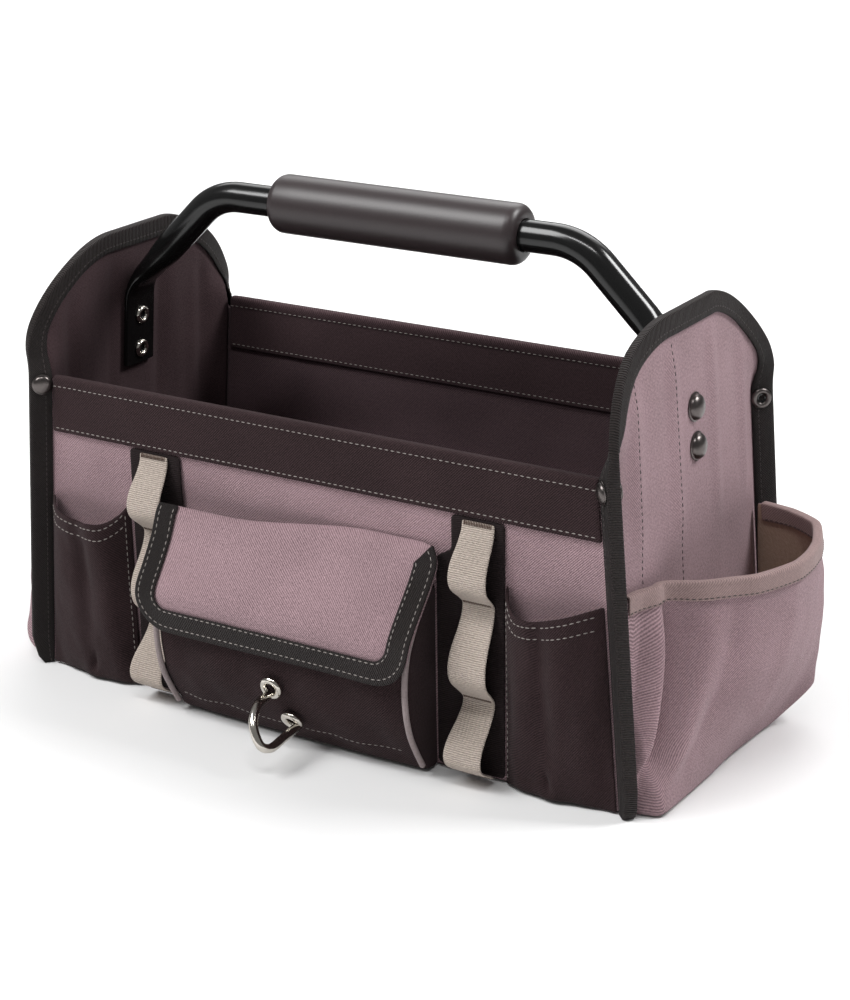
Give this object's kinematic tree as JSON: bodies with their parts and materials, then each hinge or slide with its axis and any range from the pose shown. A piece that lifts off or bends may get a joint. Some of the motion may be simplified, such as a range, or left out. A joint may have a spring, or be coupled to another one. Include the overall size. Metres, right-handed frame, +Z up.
{
  "type": "tool bag",
  "caption": "Open-topped canvas tool bag with arched ends, a bent tube handle with a foam grip, end and front pockets, a flap pocket and webbing tool loops.",
  "frame": {"origin": "centre of the bag's base, on the floor", "axes": "+X along the bag's length, towards the end on the right of the picture; -Y the way the front with the flap pocket faces; +Z up"},
  "size_m": [0.5608, 0.28, 0.333],
  "materials": {
    "grey_canvas": "warm grey woven canvas, matte",
    "black_canvas": "black woven canvas, matte",
    "black_tape": "black ribbed binding tape",
    "hem_tape": "grey-brown folded hem tape",
    "piping_grey": "grey cloth piping",
    "beige_webbing": "beige ribbed webbing",
    "black_paint": "gloss black paint on steel tube",
    "foam": "matte dark foam sleeve",
    "gunmetal": "dark polished rivet metal",
    "bright_nickel": "bright nickel wire"
  },
  "bodies": {
    "root": {"base_panel": "black_canvas", "front_panel": "grey_canvas", "back_panel": "grey_canvas", "front_band": "black_canvas", "back_band": "black_canvas", "centre_pocket": "black_canvas", "pocket_flap": "grey_canvas", "flap_binding": "black_tape", "handle_tube": "black_paint", "handle_grip": "foam", "wire_hook": "bright_nickel", "end_panel_right": "grey_canvas", "binding_right": "black_tape", "front_pocket_right": "black_canvas", "pocket_piping_right": "piping_grey", "web_backing_right": "black_tape", "loop_web_right": "beige_webbing", "end_pocket_right": "grey_canvas", "end_pocket_hem_right": "hem_tape", "handle_rivet_upper_right": "gunmetal", "handle_rivet_lower_right": "gunmetal", "corner_rivet_front_right": "gunmetal", "corner_rivet_back_right": "gunmetal", "end_panel_left": "grey_canvas", "binding_left": "black_tape", "front_pocket_left": "black_canvas", "pocket_piping_left": "piping_grey", "web_backing_left": "black_tape", "loop_web_left": "beige_webbing", "end_pocket_left": "grey_canvas", "end_pocket_hem_left": "hem_tape", "handle_rivet_upper_left": "gunmetal", "handle_rivet_lower_left": "gunmetal", "corner_rivet_front_left": "gunmetal", "corner_rivet_back_left": "gunmetal"}
  },
  "joints": []
}
